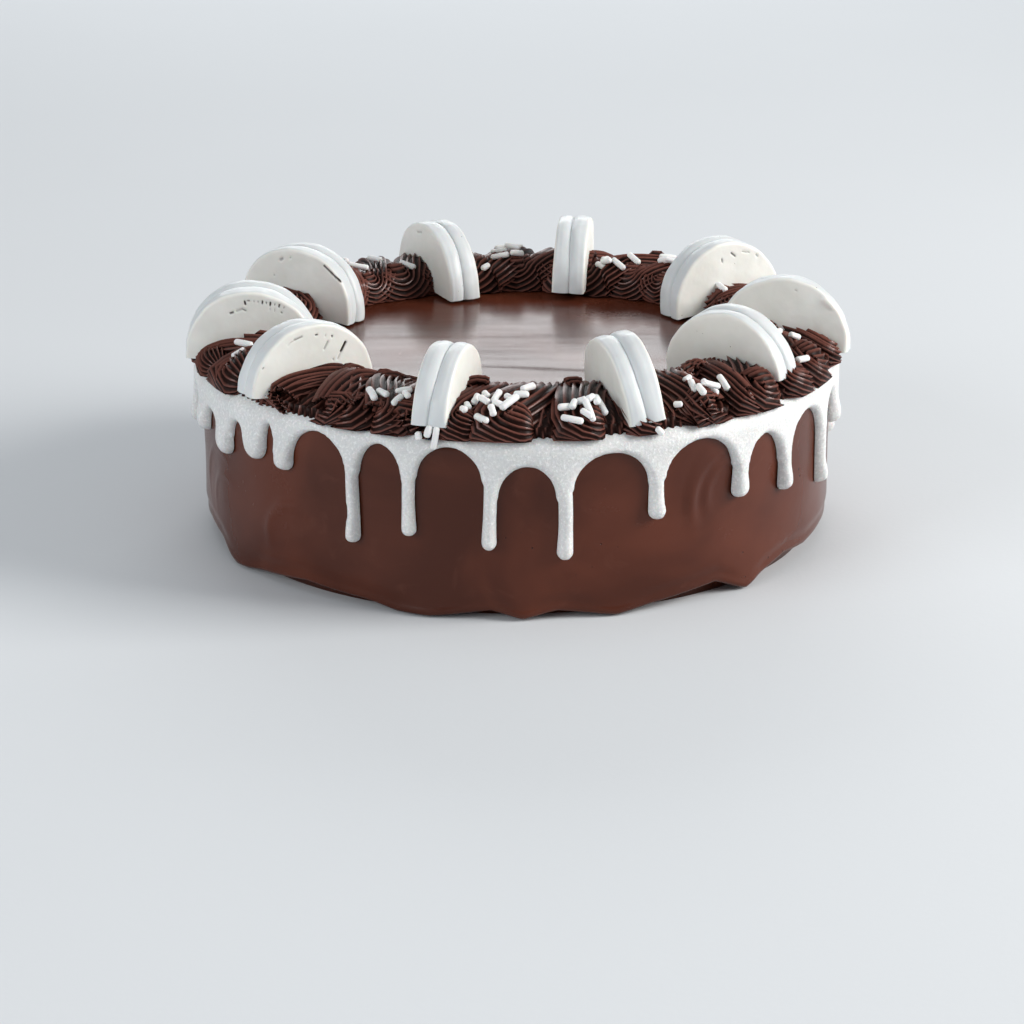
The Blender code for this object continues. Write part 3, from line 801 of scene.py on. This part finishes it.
# The half biscuits.
biscuitSettings = {
    "radius": 26.8,
    "height": 28.4,
    "thickness": 14.7,
    "face": 0.94,
    "shrink": 0.028,
    "footHeight": 2.2,
    "footDepth": 0.35,
    "colour": shade(0.82, 0.815, 0.77),
    "second": shade(0.75, 0.74, 0.69),
    # painted shade for the rims: darker than the faces, with a bluish painted reflection
    "rimPaintedShade": shade(0.64, 0.665, 0.67),
    "speck": shade(0.12, 0.09, 0.075),
    "nick": shade(0.035, 0.022, 0.018),
    # how each stands: angle, turn about the upright, lean and rise of its outer end in degrees,
    # distance of its middle from the axis and height of its cut side in mm, and its size
    "stand": (
        (354.7, -5.8, -5.6, -2.7, 106.6, 74.0, 1.007),
        (33.6, -5.2, -0.5, 6.6, 102.7, 73.6, 0.997),
        (76.3, 7.6, 1.9, 0.0, 103.4, 72.8, 0.993),
        (109.5, 8.8, -2.3, 4.1, 100.2, 72.6, 0.993),
        (152.5, 3.3, 0.6, 7.3, 100.5, 73.9, 0.989),
        (190.4, -10.6, -3.7, 0.5, 105.9, 72.9, 1.02),
        (221.6, -11.1, -0.4, 4.8, 106.9, 72.8, 1.003),
        (255.9, -1.0, -1.7, 5.3, 105.6, 73.1, 0.963),
        (293.1, -6.2, 8.2, 1.8, 102.8, 73.7, 1.012),
        (325.6, 0.9, 1.9, 8.0, 99.8, 74.4, 0.977),
    ),
    # nicks and pinholes in the coating of some: which face, then for each both ends, half width,
    # depth and darkness, in mm across and up the face
    "marks": {
        1: (-1, ((3.6, 23.3, 4.2, 23.0, 0.4, 0.15, 0.4), (15.6, 20.2, 18.6, 18.2, 1.5, -0.7, 0.0))),
        2: (-1, (
            (3.2, 22.4, 4.9, 20.7, 0.45, 0.3, 0.75), (8.6, 21.8, 12.0, 20.6, 0.35, 0.25, 0.5),
            (15.3, 18.9, 15.9, 18.0, 0.5, 0.3, 0.5), (-1.6, 20.9, -1.5, 19.6, 0.45, 0.3, 0.6),
            (7.6, 4.6, 10.4, 5.3, 0.8, 0.3, 0.5),
        )),
        4: (1, ((2.0, 23.2, 6.0, 22.2, 0.6, 0.3, 0.4),)),
        5: (1, (
            (-11.3, 22.6, -19.4, 17.6, 0.45, 0.4, 0.9), (7.9, 21.2, 8.6, 20.6, 0.8, 0.35, 0.45),
            (10.9, 13.6, 10.8, 13.4, 0.4, 0.25, 0.5), (4.2, 22.6, 4.4, 22.4, 0.5, 0.3, 0.4),
        )),
        6: (1, (
            (2.2, 23.7, 2.0, 22.6, 0.42, 0.45, 1.0), (1.2, 24.2, 0.3, 24.2, 0.3, 0.3, 0.8),
            (-1.4, 24.1, -1.4, 23.7, 0.3, 0.25, 0.55), (-3.0, 24.0, -3.0, 23.5, 0.3, 0.25, 0.55),
            (-4.7, 23.9, -4.6, 22.9, 0.35, 0.4, 0.9), (-6.2, 23.7, -6.2, 23.0, 0.3, 0.3, 0.7),
            (-7.8, 23.4, -7.7, 22.3, 0.38, 0.4, 1.0), (-9.6, 22.9, -9.4, 22.3, 0.3, 0.3, 0.6),
            (-11.3, 22.5, -11.1, 21.7, 0.38, 0.4, 0.9), (-13.2, 21.6, -13.0, 21.2, 0.3, 0.25, 0.5),
            (-12.0, 19.6, -12.2, 19.2, 0.35, 0.3, 0.7), (-7.6, 21.2, -7.6, 20.4, 0.28, 0.2, 0.35),
            (-9.4, 20.8, -9.4, 19.9, 0.28, 0.2, 0.35), (7.9, 18.9, 6.9, 19.3, 0.5, 0.3, 0.75),
            (5.4, 19.8, 3.4, 20.6, 0.55, 0.25, 0.4), (3.2, 20.6, 1.9, 20.0, 0.4, 0.3, 0.55),
            (1.2, 10.1, 1.0, 9.9, 0.4, 0.25, 0.5), (-10.9, 7.7, -11.3, 7.5, 0.5, 0.3, 0.6),
        )),
        7: (1, (
            (-11.9, 19.8, -10.3, 16.6, 0.55, 0.6, 1.0), (-10.2, 16.4, -9.0, 13.6, 0.5, 0.3, 0.35),
            (-4.3, 20.3, -3.0, 17.8, 0.5, 0.45, 0.45), (-7.0, 13.7, -7.1, 13.4, 0.4, 0.3, 0.5),
            (0.3, 23.4, 0.9, 23.3, 0.42, 0.35, 0.9), (-6.0, 22.6, -6.1, 22.4, 0.42, 0.35, 0.95),
            (-3.2, 23.0, -3.2, 22.7, 0.38, 0.2, 0.4), (6.6, 23.1, 9.8, 21.9, 0.35, 0.3, 0.7),
            (9.8, 21.9, 12.4, 19.9, 0.3, 0.2, 0.4), (22.0, 11.8, 22.3, 11.5, 0.4, 0.3, 0.6),
        )),
    },
}


def standing(angle, turn, lean, rise, centre, base):
    foot = spotAt(math.radians(angle), centre, base) * mm
    tilt = Matrix.Rotation(-math.radians(rise), 4, "Y")
    side = Matrix.Rotation(math.radians(lean), 4, "X")
    yaw = Matrix.Rotation(math.radians(angle + turn), 4, "Z")
    return Matrix.Translation(foot) @ yaw @ tilt @ side


def biscuitRim(across, face):
    # the outline's size from one face over both layers to the other
    away = np.abs(across)
    outer = np.clip((away - 0.45) / 0.55, 0, 1)
    inner = np.clip(1 - away / 0.45, 0, 0.985)
    size = 1 - (1 - face) * (1 - np.sqrt(1 - outer**2.4)) - 0.058 * (1 - np.sqrt(1 - inner**2))
    return size - 0.006 * np.exp(-(((away - 0.66) / 0.06) ** 2))


def halfBiscuit(number, stance, scale, material):
    s = biscuitSettings
    side, marks = s["marks"].get(number, (1, ()))
    columns, rings, rimRows = (400, 50, 34) if marks else (220, 24, 30)
    radius = s["radius"] * scale
    half = 0.5 * s["thickness"] * scale
    lift = (s["height"] - s["radius"]) * scale
    draw = random.Random(40 + number)
    phases = [draw.uniform(0, fullTurn) for _ in range(8)]
    face = np.linspace(0, s["face"], rings)
    even = np.linspace(-1, 1, rimRows + 1)
    across = even - 0.55 * np.sin(fullTurn * even) / fullTurn
    sizes = np.concatenate([face, biscuitRim(across, s["face"])[1:-1], face[::-1]])
    places = np.concatenate([-np.ones(len(face)), across[1:-1], np.ones(len(face))])

    def place(around, row):
        size = sizes[row]
        y = places[row]
        # how far a point lies off the faces: the mask of the rim's painted shade and bluish painted
        # reflection
        rim = np.clip((0.93 - np.abs(y)) / 0.10, 0, 1)
        y = y + 0.10 * (1 - y * y) * np.sin(2 * around + phases[4])
        layer = np.tanh(5 * y)
        wobble = 0.009 * np.sin(2 * around + phases[0]) + 0.005 * np.sin(5 * around + phases[1])
        wobble += 0.004 * np.sin(9 * around + phases[2] + 2 * y)
        wobble += 0.002 * np.sin(21 * around + phases[3] - 3 * y)
        wobble += layer * (0.011 * np.sin(around + phases[6]) + 0.005 * np.sin(3 * around + phases[7]))
        reach = radius * size * (1 + (wobble - s["shrink"]) * np.clip(size * 1.6 - 0.6, 0, 1))
        x = reach * np.cos(around)
        z = lift + reach * np.sin(around)
        flat = 0.10 * np.sin(0.19 * x + phases[4]) * np.sin(0.23 * z + phases[5])
        flat += 0.05 * np.sin(0.5 * x + 0.4 * z)
        crown = 0.5 * (size / s["face"]) ** 3
        dent = np.zeros(len(x))
        dark = np.zeros(len(x))
        for x1, z1, x2, z2, wide, deep, tone in marks:
            dx, dz = x2 - x1, z2 - z1
            share = np.clip(((x - x1) * dx + (z - z1) * dz) / (dx * dx + dz * dz + 1e-6), 0, 1)
            near = np.hypot(x - x1 - share * dx, z - z1 - share * dz) / wide
            inside = np.clip(1.35 - near, 0, 1) * (side * y > 0.86)
            dent += deep * inside
            dark = np.maximum(dark, tone * inside)
        y = y * (half - 0.12 - np.abs(y) ** 8 * ((crown + flat) * 0.6) - dent)
        return np.stack([x, y, z], axis=1) * mm, dark, rim

    shape = wrappedGrid(columns, len(sizes) - 1, place, ["mark", "rim"])
    bmesh.ops.bisect_plane(
        shape, geom=shape.verts[:] + shape.edges[:] + shape.faces[:], plane_co=(0, 0, 0), plane_no=(0, 0, -1),
        clear_outer=True, dist=1e-6,
    )
    for point in shape.verts:
        # small feet of coating along the cut side
        low = max(0.0, 1 - point.co.z / (s["footHeight"] * mm))
        if low > 0 and abs(point.co.y) > 0.3 * half * mm:
            lump = 0.5 + 0.5 * math.sin(point.co.x * 900 + phases[2]) * math.sin(point.co.x * 370 + phases[3])
            point.co.y += math.copysign(s["footDepth"] * mm * low * low * (lump - 0.4), point.co.y)
    bmesh.ops.holes_fill(shape, edges=rimOf(shape), sides=0)
    bmesh.ops.triangulate(shape, faces=[one for one in shape.faces if len(one.verts) > 4])
    bmesh.ops.transform(shape, matrix=standing(*stance), verts=shape.verts)
    madePiece(f"halfBiscuit{number:02d}", shape, material, [f"biscuit_{number:02d}"])


def coatingFinish():
    s = biscuitSettings
    f = Finish("whiteCoating", {"IOR": 1.46, "Subsurface Weight": 0.10, "Subsurface Scale": 0.004})
    broad = f.noise(55, 3, 0.6)
    fine = f.noise(700, 3, 0.6)
    colour = f.mix(f.step(broad, 0.3, 0.7), s["colour"], s["second"])
    # the rims get painted shade, darker and bluish as a painted reflection
    colour = f.mix(f.attribute("rim"), colour, s["rimPaintedShade"])
    specks = f.step(f.cells(330), 0.10, 0.04) * f.step(f.noise(95), 0.60, 0.66)
    colour = f.mix(specks * 0.8, colour, s["speck"])
    colour = f.mix(f.step(f.attribute("mark"), 0.05, 0.85), colour, s["nick"])
    height = fine * 0.10 + f.noise(170, 2) * 0.6 + f.noise(80, 2) * 1.4 - specks * 1.0
    roughness = 0.34 + broad * 0.14
    return f.done(colour, roughness, f.bump(height, 0.0003))


# The sprinkles.
sprinkleSettings = {
    "length": 8.8,
    "radius": 1.27,
    # how far each sinks into the piping, how much it rises over another, and limits of height
    "sink": 0.25,
    "overlap": 0.9,
    "lowest": 72.5,
    "highest": 88.5,
    # each is dropped on the piping from here
    "above": 100,
    "colour": shade(0.85, 0.85, 0.84),
    "second": shade(0.76, 0.76, 0.75),
    # both ends of each one that shows from the front, seen from above, in mm
    "seen": (
        (-109.5, -40.6, -101.8, -46.3), (-109.2, -57.0, -104.1, -52.3), (-54.5, -105.1, -51.6, -112.8),
        (-51.3, -105.8, -46.9, -111.8), (-44.9, -108.2, -38.1, -107.3), (-45.7, -116.9, -41.6, -113.7),
        (-41.3, -111.6, -39.3, -116.9), (-18.6, -117.8, -17.2, -121.7), (-20.5, -121.7, -18.2, -123.9),
        (-16.0, -118.6, -14.0, -114.0), (-12.4, -112.6, -10.1, -115.5), (-8.7, -119.9, -6.2, -111.8),
        (-13.9, -117.8, -9.8, -122.5), (-15.4, -123.2, -10.2, -128.4), (-9.8, -123.0, -8.2, -127.7),
        (-9.3, -121.9, -4.6, -123.3), (-4.6, -115.3, 0.1, -119.1), (-6.1, -124.9, 0.6, -118.2),
        (-1.5, -118.2, 4.7, -118.6), (1.4, -112.8, 6.6, -107.0), (14.5, -121.9, 19.8, -120.3),
        (19.7, -122.8, 21.4, -118.2), (21.4, -118.2, 25.5, -119.8), (15.6, -124.9, 24.3, -127.2),
        (24.4, -119.9, 27.9, -125.9), (22.8, -124.1, 27.5, -126.4), (25.3, -120.2, 28.2, -116.6),
        (28.7, -114.6, 29.1, -120.9), (29.2, -114.8, 32.6, -119.5), (54.0, -112.0, 57.6, -112.4),
        (57.1, -108.6, 61.1, -108.7), (61.8, -95.6, 64.7, -92.0), (64.1, -97.0, 65.7, -104.1),
        (68.4, -92.3, 74.8, -97.5), (66.1, -102.4, 69.3, -106.3), (75.0, -88.6, 78.7, -94.2),
        (68.1, -102.7, 75.2, -97.4), (106.8, -59.3, 112.3, -54.0), (-15.2, 90.0, -11.2, 92.5),
        (-11.3, 96.8, -2.7, 96.0), (-2.7, 94.9, 3.3, 98.4), (-50.1, 86.6, -42.7, 83.1),
        (34.2, 88.9, 38.1, 84.3), (36.3, 90.8, 40.3, 92.4), (41.0, 86.9, 46.4, 80.6),
        (48.0, 90.4, 52.8, 83.4), (82.7, 50.0, 87.2, 42.7), (35.8, 85.9, 40.9, 83.7),
    ),
    # those that hang on the outside: angle, height and distance from the axis of each end
    "hanging": (
        ((254.0, 73.6, 130.6), (254.3, 69.9, 131.0)), ((256.1, 76.0, 129.8), (255.5, 71.0, 131.0)),
        ((257.1, 75.8, 130.2), (256.5, 66.6, 130.6)), ((292.9, 73.4, 130.2), (294.2, 70.0, 130.8)),
    ),
    # scatterings elsewhere: angle, spread in degrees, distance and its spread in mm, and how many
    "spots": (
        (20, 6, 108, 10, 3), (52, 4, 112, 8, 3), (94, 5, 112, 9, 4), (128, 5, 108, 9, 4),
        (171, 6, 108, 10, 4), (344, 4, 112, 8, 2),
    ),
}


def sprinkleShape(start, end, draw):
    s = sprinkleSettings
    radius = s["radius"] * (0.94 + 0.14 * math.sin(1.7 * draw) ** 2) * mm
    shape = bmesh.new()
    bmesh.ops.create_uvsphere(shape, u_segments=14, v_segments=16, radius=radius)
    push = max(0.5 * (end - start).length - radius, 0.4 * radius)
    for point in shape.verts:
        # flatter ends, then a lumpy rod between them
        point.co.z *= 0.8
        if abs(point.co.z) > 1e-6:
            point.co.z += math.copysign(push, point.co.z)
        around = math.atan2(point.co.y, point.co.x)
        lump = 1 + 0.07 * math.sin(950 * point.co.z + draw) * math.cos(around + draw)
        lump += 0.05 * math.sin(1900 * point.co.z + 2 * draw) + 0.04 * math.sin(3 * around + 700 * point.co.z)
        bend = 0.12 * radius * math.sin(160 * point.co.z + draw)
        point.co.x = point.co.x * lump + bend
        point.co.y *= lump
    turn = (end - start).to_track_quat("Z", "X").to_matrix().to_4x4()
    bmesh.ops.transform(shape, matrix=Matrix.Translation((start + end) / 2) @ turn, verts=shape.verts)
    return shape


def clearOfBiscuits(spot):
    s = biscuitSettings
    for *stance, _ in s["stand"]:
        local = standing(*stance).inverted() @ spot
        if abs(local.y) < (0.5 * s["thickness"] + 0.8) * mm and abs(local.x) < (s["radius"] + 1) * mm:
            return False
    return True


def onBorder(surface, ends, laid):
    # lays a rod with these ends on the border, a little higher where it crosses another
    s = sprinkleSettings
    spots = ends[0], ends[0].lerp(ends[1], 0.5), ends[1]
    hits = [surface.ray_cast(spot, Vector((0, 0, -1)))[0] for spot in spots]
    if None in hits or min(hit.z for hit in hits) < s["lowest"] * mm:
        return None
    first, under, last = hits
    rise = max(0.0, under.z - 0.5 * (first.z + last.z)) + (s["radius"] - s["sink"]) * mm
    rod = [spot + Vector((0, 0, rise)) for spot in (first, last)]
    shares = (0, 0.25, 0.5, 0.75, 1)
    for other in laid:
        pairs = ((rod[0].lerp(rod[1], a), other[0].lerp(other[1], b)) for a in shares for b in shares)
        crossing = min((one - two).length for one, two in pairs) < 1.7 * s["radius"] * mm
        for spot in rod:
            spot.z += s["overlap"] * mm * crossing
    for spot in rod:
        spot.z = min(spot.z, s["highest"] * mm)
    return rod


def whiteSprinkles(border):
    s = sprinkleSettings
    draw = random.Random(21)
    surface = BVHTree.FromObject(border, bpy.context.evaluated_depsgraph_get())
    laid = []
    for x1, y1, x2, y2 in s["seen"]:
        ends = Vector((x1, y1, s["above"])) * mm, Vector((x2, y2, s["above"])) * mm
        rod = onBorder(surface, ends, laid)
        if rod:
            laid.append(rod)
    for centre, spread, ring, deep, count in s["spots"]:
        placed = 0
        for _ in range(60 * count):
            angle = math.radians(centre + draw.uniform(-spread, spread))
            radius = (ring + draw.uniform(-deep, deep)) * mm
            heading = draw.uniform(0, math.pi)
            half = 0.5 * s["length"] * draw.uniform(0.85, 1.1) * mm
            level = spotAt(heading, 1, 0) * half
            middle = spotAt(angle, radius, s["above"] * mm)
            lowered = middle - Vector((0, 0, 20 * mm))
            if not all(clearOfBiscuits(lowered + share * level) for share in (1, 0, -1)):
                continue
            rod = onBorder(surface, (middle + level, middle - level), laid)
            if rod:
                laid.append(rod)
                placed += 1
            if placed == count:
                break
    for ends in s["hanging"]:
        laid.append([spotAt(math.radians(angle), out, up) * mm for angle, up, out in ends])
    everything = bmesh.new()
    for start, end in laid:
        addShape(everything, sprinkleShape(start, end, draw.uniform(0, 6)))
    madePiece("whiteSprinkles", everything, sprinkleFinish(), ["piped_border"])
    print("sprinkles:", len(laid))


def sprinkleFinish():
    s = sprinkleSettings
    f = Finish("sprinkleWhite", {"IOR": 1.45, "Subsurface Weight": 0.1, "Subsurface Scale": 0.002})
    grain = f.noise(1500, 2, 0.6)
    colour = f.mix(f.noise(400, 2), s["colour"], s["second"])
    return f.done(colour, 0.45 + grain * 0.15, f.bump(grain, 0.0001))


# The floor, light and camera.
studioSettings = {
    "floor": shade(0.67, 0.69, 0.71),
    "floorSecond": shade(0.65, 0.67, 0.69),
    "sky": shade(0.80, 0.84, 0.88),
    "skyStrength": 0.38,
    "lens": 105.47,
    "cameraPlace": (-0.0018, -1.164, 0.394),
    "cameraTilt": 71.3,
    # name, place, what it points at, width, height, watts, colour
    "lights": (
        ("rightKey", (1.75, -0.30, 0.9), (0, 0, 0.05), 1.0, 1.0, 46, (1.0, 0.985, 0.96)),
        ("leftFill", (-1.5, -1.15, 0.75), (0, 0, 0.05), 1.2, 1.0, 18, (0.96, 0.98, 1.0)),
        ("backPanel", (-0.15, 2.2, 1.05), (0, 0, 0.07), 1.8, 0.7, 19, (0.97, 0.99, 1.0)),
        ("overhead", (0, 0.1, 2.0), (0, 0, 0.05), 1.4, 1.4, 2, (1.0, 1.0, 1.0)),
    ),
}


def studio():
    s = studioSettings
    shape = bmesh.new()
    bmesh.ops.create_grid(shape, x_segments=2, y_segments=2, size=6)
    mesh = bpy.data.meshes.new("paleFloor")
    shape.to_mesh(mesh)
    shape.free()
    f = Finish("paleFloor", {"Specular IOR Level": 0.15})
    soft = f.noise(3, 2)
    colour = f.mix(soft, s["floor"], s["floorSecond"])
    f.done(colour, 0.75 + soft * 0.05, f.bump(f.noise(400, 2), 0.00005))
    mesh.materials.append(f.material)
    floor = shownObject("paleFloor", mesh)
    for name, place, aim, wide, tall, watts, tint in s["lights"]:
        lamp = bpy.data.lights.new(name, "AREA")
        lamp.shape = "RECTANGLE"
        lamp.size = wide
        lamp.size_y = tall
        lamp.energy = watts
        lamp.color = tint
        thing = shownObject(name, lamp)
        thing.location = place
        thing.rotation_euler = (Vector(aim) - Vector(place)).to_track_quat("-Z", "Y").to_euler()
    world = bpy.data.worlds.new("paleStudio")
    world.use_nodes = True
    sky = world.node_tree.nodes["Background"]
    sky.inputs["Color"].default_value = s["sky"]
    sky.inputs["Strength"].default_value = s["skyStrength"]
    bpy.context.scene.world = world
    eye = bpy.data.cameras.new("photoView")
    eye.lens = s["lens"]
    eye.sensor_width = 36
    eye.clip_start = 0.01
    camera = shownObject("photoView", eye)
    camera.location = s["cameraPlace"]
    camera.rotation_euler = (math.radians(s["cameraTilt"]), 0, 0)
    bpy.context.scene.camera = camera
    bpy.context.scene.view_settings.view_transform = "Standard"


studio()
glazedBody()
icingCollar()
pipedCream = pipedBorder()
coating = coatingFinish()
for number, (*stance, scale) in enumerate(biscuitSettings["stand"], start=1):
    halfBiscuit(number, stance, scale, coating)
whiteSprinkles(pipedCream)
